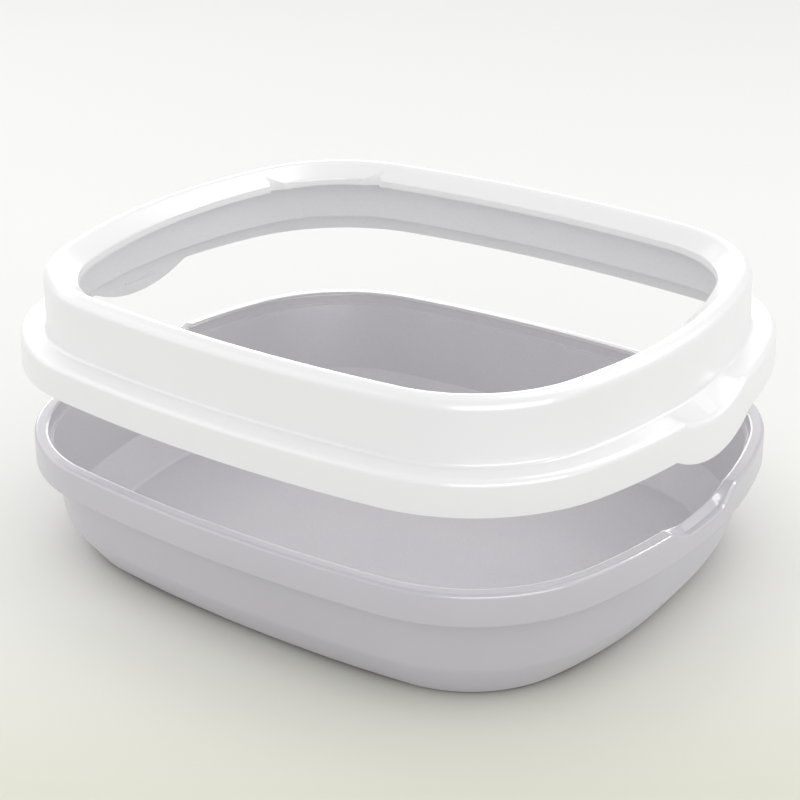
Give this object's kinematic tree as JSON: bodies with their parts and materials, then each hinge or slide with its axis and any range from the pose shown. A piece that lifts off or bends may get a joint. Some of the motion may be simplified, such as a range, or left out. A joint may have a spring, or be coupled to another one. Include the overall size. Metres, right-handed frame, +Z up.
{
  "type": "anti-splash litter box",
  "caption": "Low rounded litter pan with a rolled flange, and a tall splash rim with an inward lip that lifts off straight up.",
  "frame": {"origin": "middle of the pan's underside, on the surface it stands on", "axes": "+X along the length, +Y across the width, +Z up; the scoop rest of the rim is at the corner between -X and +Y"},
  "size_m": [0.5, 0.419, 0.2119],
  "materials": {
    "grey_plastic": "satin moulded polypropylene",
    "white_plastic": "glossy moulded polypropylene"
  },
  "bodies": {
    "pan": {"litter_pan": "grey_plastic"},
    "rim": {"splash_rim": "white_plastic"}
  },
  "joints": [
    {"name": "rim_lift", "type": "slide", "parent": "pan", "child": "rim", "axis": [0, 0, 1], "range_m": [-0.0744, 0.05]}
  ]
}
